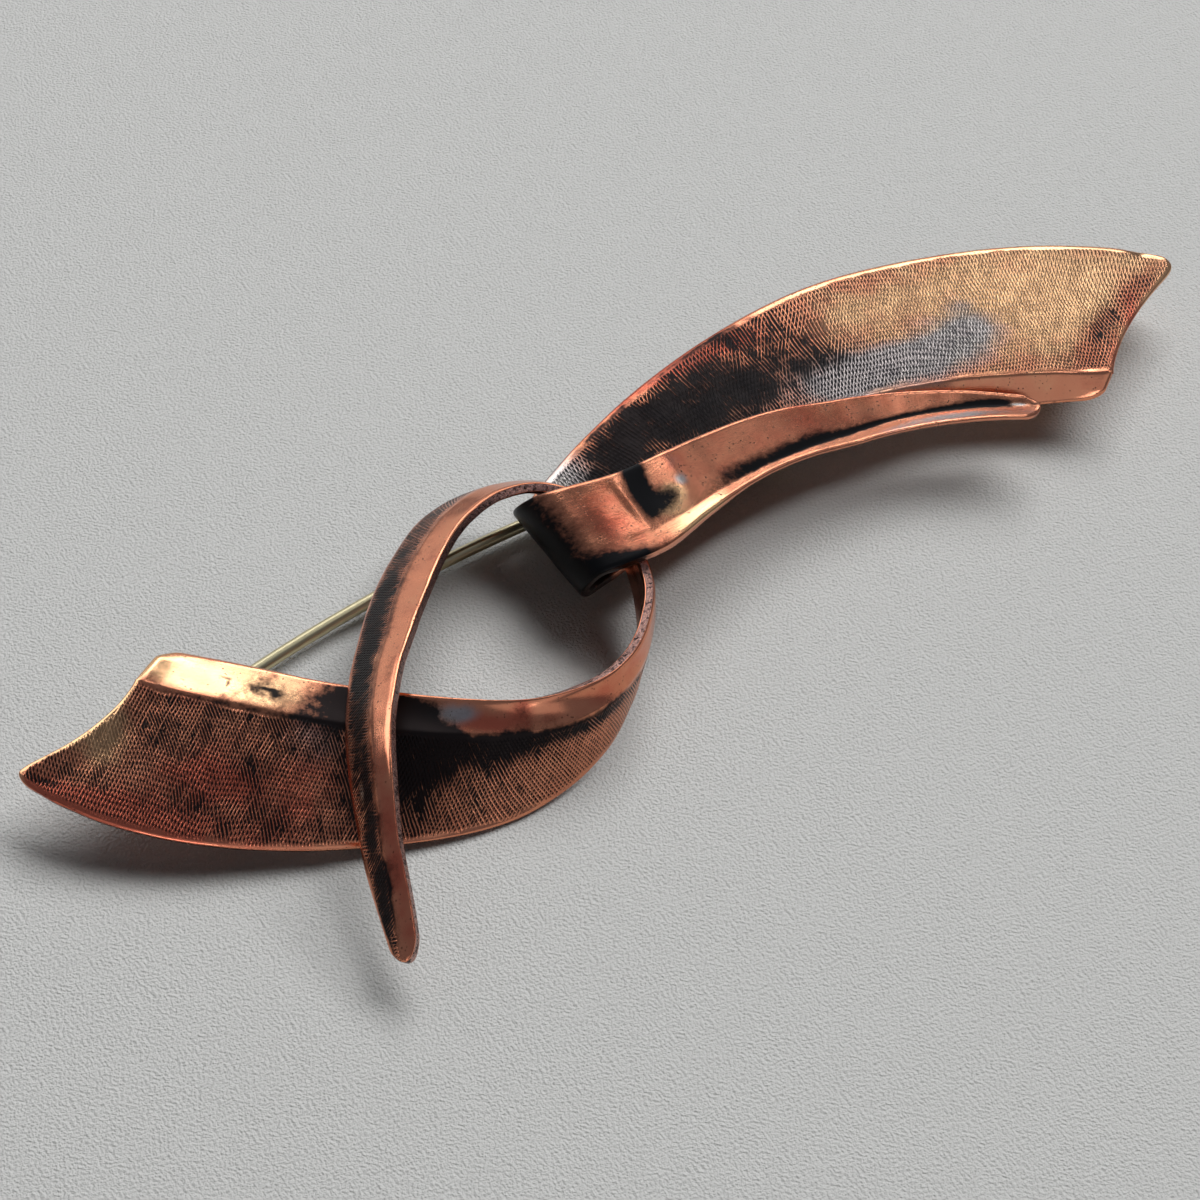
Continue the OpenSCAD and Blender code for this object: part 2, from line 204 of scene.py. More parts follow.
FOLDED_STAINS_AND_PAINTED_LIGHT = [
    # Gold tint and thinner oxide where the wide side catches the light: a painted highlight
    [9.0, 9.0, 11.0, 8.0, -0.25, -1.2, 0.0],
    [2.8, 10.6, 1.2, 1.2, 0.7, 0.9, 0.1],
    [4.0, 8.8, 1.1, 1.4, 0.6, 0.9, 0.1],
    [5.2, 6.8, 1.1, 1.6, 0.7, 0.9, 0.1],
    [6.3, 4.6, 1.1, 1.6, 0.6, 0.8, 0.0],
    [7.0, 2.0, 1.2, 1.8, 0.6, 0.8, 0.0],
    [3.8, 5.5, 0.6, 3.0, -0.5, 1.6, 0.0],
    [5.2, 1.6, 0.6, 2.0, -0.4, 1.2, 0.0],
    [15.8, 5.4, 2.4, 2.2, 0.1, 0.3, 1.1],
    [19.5, 3.0, 4.4, 2.4, -0.1, 0.0, 1.4],
    [25.5, 1.8, 4.2, 2.0, 0.1, 0.0, 1.3],
    [15.6, 8.2, 1.2, 1.2, 0.25, 0.3, 0.5],
    [23.0, 9.0, 6.0, 3.0, 0.2, -0.6, 0.0],
    # This row and those at 33.5, 39 and 45.5 along: black on the textured side next to and under the
    # band
    [26.5, 4.8, 3.6, 1.6, 0.9, 0.0, 0.5],
    [28.0, 7.4, 3.4, 2.6, 0.5, 0.15, 0.0],
    [33.5, 4.0, 4.6, 4.2, 1.2, 0.0, 0.4],
    [39.0, 5.0, 5.0, 4.0, 1.2, 0.0, 0.3],
    [45.5, 4.0, 3.5, 3.0, 1.3, 0.0, 0.2],
    [32.0, 10.0, 5.0, 2.4, 0.7, 0.6, 0.0],
    [41.5, 6.6, 5.0, 1.8, 0.7, 0.3, 0.0],
    [39.0, 9.4, 8.0, 0.8, -0.3, 1.2, 0.0],
    [47.6, 6.4, 2.4, 2.2, -0.9, -0.5, 1.2],
    [8.0, -1.2, 8.0, 1.6, 0.0, 0.3, 0.0],
    # Black at the fold's turn, its rim too: oxide with the turn's dark reflection and shade painted
    # in
    [53.4, 2.0, 4.2, 16.0, 1.9, 0.0, 0.0],
    [59.5, -2.2, 3.2, 1.3, 1.2, 0.6, 0.0],
    [60.2, 2.4, 1.7, 3.6, 0.15, 0.7, 0.0],
    # These four rows: a black band across the fold, a painted dark reflection
    [64.2, 5.2, 1.1, 1.1, 1.2, 0.0, 0.0],
    [63.7, 3.8, 1.0, 1.0, 1.2, 0.0, 0.0],
    [63.5, 2.6, 1.0, 1.0, 1.0, 0.0, 0.0],
    [63.0, 1.2, 0.8, 0.9, 0.8, 0.0, 0.0],
    # This row and the next: dark amber in the fold's hollow, a painted dark reflection
    [64.5, 1.3, 1.2, 1.2, 0.6, -1.1, 0.0],
    [65.6, 1.8, 1.2, 1.1, 0.72, -1.1, 0.0],
    # Pale pink with less oxide: a painted reflection of the window
    [67.2, 4.4, 0.9, 1.4, -0.6, 0.3, 0.35],
    [66.9, 2.3, 0.6, 0.7, 0.0, 0.0, 0.8],
    # Gold tint and thinner oxide where the band's highlight falls: a painted highlight
    [66.6, -1.2, 2.4, 0.9, -0.6, -1.3, 0.0],
    [71.3, 0.8, 3.0, 0.8, 0.6, 0.0, 0.2],
    [78.0, 2.4, 14.0, 2.4, -0.1, 0.35, 0.1],
    [78.6, 2.2, 3.0, 1.4, 0.3, 0.2, 0.0],
    [77.5, 0.6, 6.0, 0.8, 0.8, 0.0, 0.2],
    [85.0, 0.1, 14.0, 0.4, 1.0, 0.0, 0.2],
    [93.5, 0.5, 3.6, 0.7, 1.1, 0.0, 0.0],
    # Blue-grey over the band's lower side near its tip: a painted reflection of the floor and sky
    [90.0, -1.2, 6.0, 0.8, 0.15, 0.0, 0.8],
    [95.6, 0.2, 0.8, 0.3, -1.0, -0.6, 0.9],
    [82.0, -1.0, 12.0, 0.7, -0.2, 0.0, 0.1],
]

# Hatching, at places along the crease: lean in degrees of the first lines at the crease and at
# LEAN_REACH mm from it, and of the second lines
LEAN_REACH = 10
LOOPED_LEANS = [(0, 40, 22, -10), (9, 39, 21, -10), (14, 35, 20, -11), (20, 34, 18, -18),
                (29, 21, 14, -28), (34, 27, 24, -38), (45, 28, 28, -38), (60, 25, 25, -30),
                (117, 25, 25, -25)]
FOLDED_LEANS = [(0, 28, 14, -10), (7, 28, 14, -10), (11, 24, 13, -11), (15, 20, 11, -15),
                (19, 9, 8, -19), (24, 4, 2, -22), (30, 7, 3, -20), (98, 5, 5, -20)]

# Dents and rises: place along and across, reach along and across, height in mm
LOOPED_DENTS = [
    [5.0, 7.0, 4.0, 2.0, -0.1],
    [3.5, 8.2, 2.2, 0.5, -0.06],
]
FOLDED_DENTS = [
    [64.4, 2.6, 1.2, 2.0, 0.2],
    [62.3, 2.6, 0.35, 2.2, -0.09],
    [67.2, 3.0, 0.9, 1.6, -0.05],
    [98.2, 0.0, 1.0, 1.1, -0.6],
]


class RibbonSizes(bpy.types.PropertyGroup):
    """Sizes of the copper sheet that both ribbons are cut from."""
    sheet: FloatProperty(name="Sheet", description="Thickness of the copper sheet",
                         default=0.85 * MM, unit="LENGTH", subtype="DISTANCE")
    thin_edge: FloatProperty(name="Thin edge", description="Thickness at the hammered outer edge",
                             default=0.55 * MM, unit="LENGTH", subtype="DISTANCE")
    band_thinning: FloatProperty(name="Band thinning",
                                 description="How much thinner the band's smooth edge is",
                                 default=0.5 * MM, unit="LENGTH", subtype="DISTANCE")
    lip: FloatProperty(name="Lip", description="Height that a hollowed end's lip turns up",
                       default=0.35 * MM, unit="LENGTH", subtype="DISTANCE")
    hollow: FloatProperty(name="Hollow", description="Depth of the hollow in each broad end",
                          default=1.0, min=0.5, max=1.0, subtype="FACTOR")
    bevel: FloatProperty(name="Bevel", description="Width that the sheet's edges are rubbed over",
                         default=0.42 * MM, unit="LENGTH", subtype="DISTANCE")
    end_bevel: FloatProperty(name="End bevel", description="Width rubbed at a hollowed end",
                             default=0.7 * MM, unit="LENGTH", subtype="DISTANCE")
    end_drop: FloatProperty(name="End drop", description="Height that a hollowed end's edge falls",
                            default=0.3 * MM, unit="LENGTH", subtype="DISTANCE")
    bevel_drop: FloatProperty(name="Bevel drop", description="Height that the rubbed edges fall",
                              default=0.17 * MM, unit="LENGTH", subtype="DISTANCE")
    crease_r: FloatProperty(name="Crease radius", description="Radius of the crease",
                            default=0.15 * MM, unit="LENGTH", subtype="DISTANCE")
    stations: IntProperty(name="Stations", description="Stations along a ribbon", default=400)


class HatchSizes(bpy.types.PropertyGroup):
    """Sizes of the hatching that is cut into the wide side of both ribbons."""
    pitch: FloatProperty(name="Pitch", description="Distance between the lines of each set",
                         default=0.265 * MM, unit="LENGTH", subtype="DISTANCE")
    depth: FloatProperty(name="Depth", description="Depth of the pits between the lines",
                         default=0.07 * MM, unit="LENGTH", subtype="DISTANCE")


class FinishColours(bpy.types.PropertyGroup):
    """Colours of the metals and of what grew on them, and of the painted shade, highlights and
    reflections.
    """
    copper: FloatVectorProperty(name="Copper", description="Polished copper", subtype="COLOR",
                                size=4, default=(0.82, 0.32, 0.18, 1))
    red_copper: FloatVectorProperty(name="Red copper", description="Copper with a red tarnish",
                                    subtype="COLOR", size=4, default=(0.68, 0.17, 0.1, 1))
    # Also tints the painted highlights of the golden zones and the fold's painted amber reflection
    gold_copper: FloatVectorProperty(name="Golden copper",
                                     description="Copper with a golden tarnish", subtype="COLOR",
                                     size=4, default=(0.9, 0.53, 0.28, 1))
    # Also the black of painted shade and painted dark reflections
    oxide_and_painted_shade: FloatVectorProperty(name="Oxide", description="Black oxide", subtype="COLOR",
                               size=4, default=(0.01, 0.01, 0.011, 1))
    # Also the blue-grey of painted reflections
    patina_and_painted_reflection: FloatVectorProperty(name="Patina", description="Blue-grey patina", subtype="COLOR",
                                size=4, default=(0.42, 0.47, 0.48, 1))
    brass: FloatVectorProperty(name="Brass", description="Brass of the pin", subtype="COLOR",
                               size=4, default=(0.95, 0.82, 0.48, 1))
    dull_brass: FloatVectorProperty(name="Dull brass", description="Brass with a thin tarnish",
                                    subtype="COLOR", size=4, default=(0.3, 0.22, 0.08, 1))
    floor: FloatVectorProperty(name="Floor", description="Pale floor", subtype="COLOR",
                               size=4, default=(0.5, 0.5, 0.49, 1))


class StageSizes(bpy.types.PropertyGroup):
    """Camera and lights."""
    bearing: FloatProperty(name="Bearing", description="Camera's bearing round the brooch",
                           default=math.radians(-31), unit="ROTATION", subtype="ANGLE")
    rise: FloatProperty(name="Rise", description="Camera's angle above the floor",
                        default=math.radians(48), unit="ROTATION", subtype="ANGLE")
    distance: FloatProperty(name="Distance", description="Camera's distance from its target",
                            default=229 * MM, unit="LENGTH", subtype="DISTANCE")
    view: FloatProperty(name="View", description="Camera's field of view",
                        default=math.radians(22), unit="ROTATION", subtype="ANGLE")
    target: FloatVectorProperty(name="Target", description="Point that the camera looks at",
                                default=(-5.534 * MM, 3.293 * MM, 0.475 * MM), unit="LENGTH",
                                subtype="TRANSLATION")


class BroochSettings(bpy.types.PropertyGroup):
    """All the settings of the brooch."""
    ribbon: PointerProperty(type=RibbonSizes, name="Ribbon", description="Sizes of the sheet")
    hatch: PointerProperty(type=HatchSizes, name="Hatch", description="Sizes of the hatching")
    colours: PointerProperty(type=FinishColours, name="Colours", description="Colours")
    stage: PointerProperty(type=StageSizes, name="Stage", description="Camera and lights")


def settings():
    """The brooch's settings in this scene."""
    return bpy.context.scene.brooch


# Shape of the ribbons

def row_at(rows, i):
    """Rows of a table, carried on in a straight line past its ends."""
    end = len(rows) - 1
    inside = rows[np.clip(i, 0, end)]
    before = np.where((i < 0)[:, None], 2 * rows[0] - rows[1], inside)
    return np.where((i > end)[:, None], 2 * rows[end] - rows[end - 1], before)


def along(rows, u):
    """Smooth curve through a table's rows, and its direction."""
    i = np.clip(np.floor(u), 0, len(rows) - 2).astype(int)
    f = (u - i)[:, None]
    a, b, c, d = (row_at(rows, i + k) for k in (-1, 0, 1, 2))
    bend = a - 2.5 * b + 2 * c - 0.5 * d
    twist = 1.5 * (b - c) + 0.5 * (d - a)
    curve = b + f / 2 * (c - a) + f * f * bend + f ** 3 * twist
    return curve, ((c - a) / 2 + 2 * f * bend + 3 * f * f * twist)[:, :3]


def unit(v):
    """Vectors at length 1."""
    return v / np.linalg.norm(v, axis=-1, keepdims=True)


def quarter(f):
    """Rise of a quarter circle."""
    return 1 - np.sqrt(np.maximum(0, 1 - f * f))


def fade(f):
    """From 1 at 0 softly to 0 at 1."""
    return np.maximum(0, 1 - f) ** 2


# Outline of a broad end, in rows of the table: where its outer tip lies across, how far the hollow
# reaches in, the tip's rounding, and the slant and rounded corner of the smooth side
OUTER_TIP = 0.9
TIP_REACH = 0.93
TIP_CORNER = 0.22
TIP_SOFT = 0.12
HOLLOW_CURVE = 1.5
SMOOTH_SLANT = 0.12
SMOOTH_CORNER = 0.7
SMOOTH_CUT = 0.28

# Rows over which an end's outline fades out, and the radius in mm of a narrow end
BROAD_FADE = 4
TIP_FADE = 2
TIP_ROUND = 1.9

# Rows that a hollowed end's lip reaches in, and the parts of the width at the edge over which the
# lip and the end's fall fade out
LIP_REACH = 0.45
CORNER_REACH = 0.35
END_CORNER = 0.12

# Soft valley behind a hollowed end's lip, in mm: depth, distance from the end, reach along, and
# the distance from the crease over which it starts
VALLEY_DEPTH = 0.16
VALLEY_PLACE = 1.9
VALLEY_REACH = 0.9
VALLEY_START = 1.5

# Rows over which the band's smooth edge grows thin, and how much closer a ribbon's columns lie at
# its crease
THINNING_ROWS = 2
CROWDING = 1.2

# Lines of the grid over a rubbed edge, as parts of its width, inward to outward
BEVEL_STEPS = np.array([0.72, 0.47, 0.25, 0.1, 0.03, 0.0])

# Heights in mm of the slow waves and of the ripples that hammering leaves
WAVE_HEIGHT = 0.02
RIPPLE_HEIGHT = 0.01

# Faces that meet at more than this are shaded sharp
SHARP_ANGLE = math.radians(40)

# The most that all stain marks and painted light and shade on one place add or take off
STAIN_AND_PAINTED_LIGHT_LIMIT = 1.5

# Steps at which a crease is measured, and how many rows past both ends of its table they go
CREASE_STEPS = 3001
PAST_ENDS = 0.5


def broad_cut(v, hollow):
    """How far the outline of a broad end lies in from the table's first row."""
    tip = TIP_CORNER * quarter((np.maximum(v, OUTER_TIP) - OUTER_TIP) / (1 - OUTER_TIP))
    curve = -hollow * TIP_REACH * ((np.clip(v, 0, 1) / OUTER_TIP) ** HOLLOW_CURVE - 1)
    soft = TIP_SOFT ** 2 * np.clip(2 * v - 1, 0, 1)
    outer = (tip + curve + np.sqrt((tip - curve) ** 2 + soft)) / 2
    corner = np.maximum(0, (-v - SMOOTH_CORNER) / (1 - SMOOTH_CORNER))
    smooth = hollow - SMOOTH_SLANT * v + SMOOTH_CUT * quarter(corner)
    return np.where(v > 0, hollow * (1 - TIP_REACH) + outer, smooth)


def tip_round(rows, v):
    """How far a narrow end's outline lies in from the table's last row."""
    return TIP_ROUND / np.linalg.norm(rows[-1, :3] - rows[-2, :3]) * quarter(v)


def station(rows, base, v, hollow):
    """Place along the table of a point of the grid, whose ends follow the ribbon's outline."""
    left = (len(rows) - 1 - base) / TIP_FADE
    return (base + broad_cut(v, hollow) * fade(base / BROAD_FADE)
            - tip_round(rows, v) * fade(left))


def crease_length(rows):
    """Distance in mm along the crease, at fine steps of the table."""
    steps = np.linspace(-PAST_ENDS, len(rows) - 1 + PAST_ENDS, CREASE_STEPS)
    path = along(rows, steps)[0][:, :3]
    travel = np.concatenate([[0], np.cumsum(np.linalg.norm(np.diff(path, axis=0), axis=1))])
    return steps, travel - np.interp(0, steps, travel)


def soft_spots(s, w, table):
    """Sum of soft round spots, from a table of place and reach along and across, and strengths."""
    total = 0
    for s0, w0, reach_s, reach_w, *strengths in table:
        spot = np.exp(-((s - s0) / reach_s) ** 2 - ((w - w0) / reach_w) ** 2)
        total = total + spot[:, None] * np.array(strengths)
    return total


def hatch_lines(s, w, leans):
    """Distances in mm that count the lines of both sets, whose leans change over the ribbon."""
    at, *slopes = np.array(leans).T
    near, far, second = (np.interp(s, at, np.tan(np.radians(lean))) for lean in slopes)
    return s - w * near - w * w * (far - near) / (2 * LEAN_REACH), s - w * second


def unevenness(s, w):
    """Slow waves that hammering leaves in the sheet, in mm."""
    wave = np.sin(0.9 * s + 0.7 * w) * np.sin(0.6 * w - 0.35 * s + 1)
    ripple = np.sin(1.9 * s - 1.3 * w + 2) * np.sin(1.1 * w + 0.8 * s)
    return WAVE_HEIGHT * wave + RIPPLE_HEIGHT * ripple


def end_valley(to_start, w):
    """Depth in mm of the soft valley behind the lip of a hollowed end."""
    valley = np.exp(-((to_start - VALLEY_PLACE) / VALLEY_REACH) ** 2)
    return VALLEY_DEPTH * valley * np.clip(w / VALLEY_START, 0, 1)


def lip_height(v, past):
    """Height in mm that a hollowed end's lip turns up, at a number of rows past its outline."""
    corner = np.clip((1 - np.abs(v)) / CORNER_REACH, 0, 1)
    corner = corner * corner * (3 - 2 * corner)
    return settings().ribbon.lip / MM * fade(past / LIP_REACH) * corner


def rubbed_heights(v, to_start, to_edge, to_finish):
    """Heights in mm that the rubbed edges fall, and that a hollowed end's edge falls."""
    size = settings().ribbon
    bevel = size.bevel / MM
    nearest = np.minimum(np.minimum(to_start, to_finish), to_edge)
    rub = size.bevel_drop / MM * quarter(np.clip(1 - nearest / bevel, 0, 1))
    end = size.end_drop / MM * quarter(np.clip(1 - to_start * MM / size.end_bevel, 0, 1))
    return rub, end * np.clip((1 - np.abs(v)) / END_CORNER, 0, 1)


def directions(row, head):
    """Unit vectors out along the textured side, and up from the sheet."""
    face, roll = np.radians(row[:, FACE]), np.radians(row[:, ROLL])
    side = np.stack([np.cos(roll) * np.cos(face), np.cos(roll) * np.sin(face), -np.sin(roll)], 1)
    return side, unit(np.cross(side, unit(head)))


def section(row, v, w, sign, thick, dip):
    """Front and back of the sheet across its crease, as places outward and upward in mm.

    The front is rounded over the crease, and the back fills the corner under it.
    """
    crease_r = settings().ribbon.crease_r / MM
    half = np.radians(row[:, FOLD] / 2 + row[:, CURL] / 4)
    front_x = w * np.cos(dip)
    front_z = -(np.sqrt(w * w + crease_r ** 2) - crease_r) * np.sin(dip)
    inner = w + sign * thick * np.tan(half) * (1 - np.abs(v))
    back_x = inner * np.cos(dip) - thick * sign * np.sin(dip)
    back_z = -np.abs(inner) * np.sin(dip) - thick * np.cos(dip)
    back_z -= np.tan(half) * (np.sqrt(back_x ** 2 + crease_r ** 2) - np.abs(back_x))
    return front_x, front_z, back_x, back_z


def sheet_sides(rows, base, v, dents, band):
    """Front and back of a ribbon at the points of its grid, and the distances its finish needs.

    Past the row named band, the smooth side's edge grows thin.
    """
    size = settings().ribbon
    cut = broad_cut(v, size.hollow)
    u = station(rows, base, v, size.hollow)
    row, head = along(rows, u)
    side, up = directions(row, head)

    steps, travel = crease_length(rows)
    s = np.interp(u, steps, travel)
    to_start = s - np.interp(cut, steps, travel)
    to_finish = np.interp(len(rows) - 1 - tip_round(rows, v), steps, travel) - s
    width = np.where(v > 0, row[:, OUT], row[:, IN])
    to_edge = width * (1 - np.abs(v))
    w = width * v

    sign = np.where(v < 0, -1.0, 1.0)
    curl = np.where(v < 0, row[:, CURL] * (1 + v) / 2, 0)
    dip = np.radians(row[:, FOLD] / 2 + curl)
    thick = (size.sheet + (size.thin_edge - size.sheet) * np.maximum(0, v)) / MM
    front_x, front_z, back_x, back_z = section(row, v, w, sign, thick, dip)
    lift = (lip_height(v, u - cut) + unevenness(s, w) + soft_spots(s, w, dents)[:, 0]
            - end_valley(to_start, w))

    rub, end = rubbed_heights(v, to_start, to_edge, to_finish)
    in_band = np.clip((u - band) / THINNING_ROWS, 0, 1)
    thinned = size.band_thinning / MM * np.maximum(0, -v) * in_band
    normal = (np.sin(dip) * sign)[:, None] * side + np.cos(dip)[:, None] * up
    crease = row[:, :3] - MIDDLE
    front = crease + front_x[:, None] * side + (front_z + lift)[:, None] * up
    front -= (np.maximum(rub, end) + thinned)[:, None] * normal
    back = crease + back_x[:, None] * side + (back_z + lift)[:, None] * up
    back += rub[:, None] * normal
    return front, back, np.stack([s, w, to_start, to_edge, to_finish], 1)


def columns(width, count, bevel):
    """Places across one side of the sheet, 0 to 1, close together at the crease and the edge."""
    inner = np.linspace(0, 1, count) ** CROWDING * (1 - bevel / width)
    return np.concatenate([inner, 1 - BEVEL_STEPS * bevel / width])


def grid_places(rows, stations, smooth_columns, hatched_columns):
    """Base along the table and place across of every point of a ribbon's grid."""
    bevel = settings().ribbon.bevel / MM
    steps, travel = crease_length(rows)
    total = np.interp(len(rows) - 1, steps, travel)
    close = 2 * bevel
    rubbed = BEVEL_STEPS[::-1] * close
    inner = np.linspace(close, total - close, stations - 2 * len(rubbed))
    distance = np.concatenate([rubbed, inner, total - rubbed[::-1]])
    base = np.interp(distance, travel, steps)
    base[0], base[-1] = 0, len(rows) - 1
    row = along(rows, base)[0]
    across = [np.concatenate([-columns(r[IN], smooth_columns, bevel)[:0:-1],
                              columns(r[OUT], hatched_columns, bevel)]) for r in row]
    return base, np.array(across)


def ribbon_mesh(name, rows, band, dents, stains_and_painted_light, leans, filed, smooth_columns, hatched_columns):
    """A grid laid along a ribbon's table and given the thickness of the sheet."""
    size = settings().ribbon
    base, across = grid_places(rows, size.stations, smooth_columns, hatched_columns)
    lines, places = across.shape
    bpy.ops.object.select_all(action="DESELECT")
    bpy.ops.mesh.primitive_grid_add(x_subdivisions=places - 1, y_subdivisions=lines - 1, size=1)
    ribbon = bpy.context.object
    ribbon.name = ribbon.data.name = name
    for finish in ("hatched_copper", "smooth_back", "filed_rim"):
        ribbon.data.materials.append(bpy.data.materials[finish])
    flat = np.empty(len(ribbon.data.vertices) * 3)
    ribbon.data.vertices.foreach_get("co", flat)
    grid = flat.reshape(-1, 3)
    i = np.rint((grid[:, 1] + 0.5) * (lines - 1)).astype(int)
    j = np.rint((grid[:, 0] + 0.5) * (places - 1)).astype(int)
    front, back, marks = sheet_sides(rows, base[i], across[i, j], dents, band)
    ribbon.data.vertices.foreach_set("co", (front * MM).ravel())
    stain_and_painted_light = soft_spots(marks[:, 0], marks[:, 1], stains_and_painted_light)
    stain_and_painted_light = np.clip(stain_and_painted_light, -STAIN_AND_PAINTED_LIGHT_LIMIT, STAIN_AND_PAINTED_LIGHT_LIMIT)
    first, second = hatch_lines(marks[:, 0], marks[:, 1], leans)
    for label, values in (
        ("strip", np.column_stack([marks[:, :2], np.full(len(marks), filed)])),
        ("lines", np.column_stack([first, second, np.zeros(len(marks))])),
        ("edges", marks[:, 2:]),
        ("stains_and_painted_light", stain_and_painted_light),
    ):
        layer = ribbon.data.attributes.new(label, "FLOAT_VECTOR", "POINT")
        layer.data.foreach_set("vector", values.astype(np.float32).ravel())

    wall = ribbon.modifiers.new("sheet", "SOLIDIFY")
    wall.thickness = size.sheet
    wall.offset = -1
    wall.material_offset = 1
    wall.material_offset_rim = 2
    bpy.ops.object.modifier_apply(modifier=wall.name)
    ribbon.data.vertices.foreach_set("co", (np.concatenate([front, back]) * MM).ravel())
    ribbon.data.update()
    bpy.ops.object.shade_smooth_by_angle(angle=SHARP_ANGLE)
    return ribbon


# Node trees

def node(tree, kind, feeds=(), out=0, **values):
    """Adds a shader node, feeds its inputs by place or name, and returns one of its outputs."""
    made = tree.nodes.new("ShaderNode" + kind)
    for key, value in values.items():
        setattr(made, key, value)
    for key, feed in feeds.items() if isinstance(feeds, dict) else enumerate(feeds):
        if isinstance(feed, bpy.types.NodeSocket):
            tree.links.new(feed, made.inputs[key])
        elif feed is not None:
            made.inputs[key].default_value = feed
    return made.outputs[out]


def math_node(tree, operation, *feeds):
    """A Math node's result."""
    return node(tree, "Math", feeds, operation=operation)


def step(tree, value, low, high):
    """0 below low, 1 above high, and smooth between."""
    return node(tree, "MapRange", {"Value": value, "From Min": low, "From Max": high},
                interpolation_type="SMOOTHSTEP")


def centred(tree, value, reach):
    """A value from 0 to 1 turned to one from -reach to reach."""
    return math_node(tree, "MULTIPLY_ADD", value, 2 * reach, -reach)


def mix_colour(tree, factor, a, b):
    """Colour a where the factor is 0 and b where it is 1."""
    return node(tree, "Mix", {0: factor, 6: a, 7: b}, out=2, data_type="RGBA")


def mix_value(tree, factor, a, b):
    """Value a where the factor is 0 and b where it is 1."""
    return node(tree, "Mix", {0: factor, 2: a, 3: b}, out=0, data_type="FLOAT")


def new_group(name, inputs, outputs):
    """An empty shader node group with named sockets."""
    group = bpy.data.node_groups.new(name, "ShaderNodeTree")
    for label, kind in inputs:
        group.interface.new_socket(label, in_out="INPUT", socket_type="NodeSocket" + kind)
    for label, kind in outputs:
        group.interface.new_socket(label, in_out="OUTPUT", socket_type="NodeSocket" + kind)
    start = group.nodes.new("NodeGroupInput")
    end = group.nodes.new("NodeGroupOutput")
    return group, {s.name: s for s in start.outputs}, {s.name: s for s in end.inputs}


def use_group(tree, name, feeds):
    """Places a node group, and returns its outputs by name."""
    made = tree.nodes.new("ShaderNodeGroup")
    made.node_tree = bpy.data.node_groups[name]
    for key, feed in feeds.items():
        tree.links.new(feed, made.inputs[key])
    return {s.name: s for s in made.outputs}


def split(tree, vector):
    """A vector's three values."""
    made = tree.nodes.new("ShaderNodeSeparateXYZ")
    tree.links.new(vector, made.inputs[0])
    return list(made.outputs)


def noise(tree, vector, scale, detail, rough=0.5, out=0):
    """A Noise Texture's value, or its colour where out is 1."""
    return node(tree, "TexNoise", {"Vector": vector, "Scale": scale, "Detail": detail,
                                   "Roughness": rough}, out=out)


def stretched(tree, vector, sx, sy):
    """The vector scaled along and across the strip."""
    return node(tree, "VectorMath", [vector, (sx, sy, 1.0)], operation="MULTIPLY")


# Finishes

# Where a mark starts and where it is full. In mm from the crease, the edge or the end: the
# hatching, its margin, its end, the rubbed rim and the golden lip.
HATCH_RANGE = (0.25, 0.6)
MARGIN_RANGE = (0.6, 0.95)
END_RANGE = (0.2, 0.5)
RUBBED_RANGE = (0.4, 0.1)
LIP_RANGE = (0.5, 0.2)

# In strength: the hatching's hollows, the gold tint (golden tarnish and painted highlight) that
# keeps them bright, the small pits, the film of oxide and painted shade, the patina and painted
# reflection on the front and the back, the rim's oxide and painted shade and the brass's tarnish
HOLLOW_RANGE = (0.42, 0.12)
BRIGHT_RANGE = (-1.8, 0.0)
PIT_RANGE = (0.55, 0.4)
FILM_RANGE = (0.15, 0.95)
PATINA_AND_REFLECTION_RANGE = (0.1, 1.1)
BACK_PATINA_AND_REFLECTION_RANGE = (0.3, 0.9)
RIM_RANGE = (0.5, 0.62)
DULL_RANGE = (0.45, 0.75)

# Scales of the noises on a ribbon, in cells per mm, along and across it where they differ
WANDER_SCALE = 0.16
SHAKE_SCALE = 1.1
WORN_SCALE = (1.3, 0.6)
FAINT_SCALE = (0.45, 0.35)
LONG_SCRATCH_SCALE = (0.8, 22.0)
CROSS_SCRATCH_SCALE = (16.0, 1.1)
PIT_SCALE = 3.2
PIT_SIZE_SCALE = 0.9
CLOUD_SCALE = 0.45
GRAIN_SCALE = 2.6

# Scales of the noises on the rims, the brass and the floor, in cells per metre
FILED_SCALE = 3200.0
DULL_SCALE = 350.0
DRAWN_SCALE = (300.0, 6000.0, 6000.0)
FLOOR_SCALE = 4400.0

# How far cloudy noise moves an edge in mm and a stain's strength, and how far grain moves a stain's
# strength, with the share of grain that the hatching keeps
BLUR_REACH = 0.4
UNEVEN_REACH = 0.8
GRAIN_REACH = 0.35
HATCHED_GRAIN = 0.3

# How much of the cloudy noise reaches the patina and painted reflection and the back's oxide and
# painted shade, and how much noise makes the small pits unlike in size
UNEVEN_PATINA = 0.6
UNEVEN_BACK = 0.5
UNEVEN_PITS = 0.7

# How much oxide a rubbed rim and the hatching's ridges lose, how much the stain marks and painted
# shade add to the hatching's hollows and to a rim, and how much closer in mm the hatching comes to a
# filed rim
RUBBED_LOSS = 0.6
RIDGE_LOSS = 0.6
HOLLOW_STAIN_AND_SHADE = 0.4
RIM_STAIN_AND_SHADE = 0.4
FILED_MARGIN = 0.35

# The most of each layer: oxide and painted shade, patina and painted reflection, oxide in the small
# pits of the front and the back, oxide and painted shade on a rim and its patina, tarnish on brass,
# and the scratches across beside those along
OXIDE_AND_SHADE_SHARE = 0.99
PATINA_AND_REFLECTION_SHARE = 0.8
PIT_SHARE = 0.7
BACK_PIT_SHARE = 0.8
RIM_OXIDE_SHARE = 0.95
RIM_PATINA_SHARE = 0.45
DULL_SHARE = 0.6
CROSS_SCRATCH_SHARE = 0.6

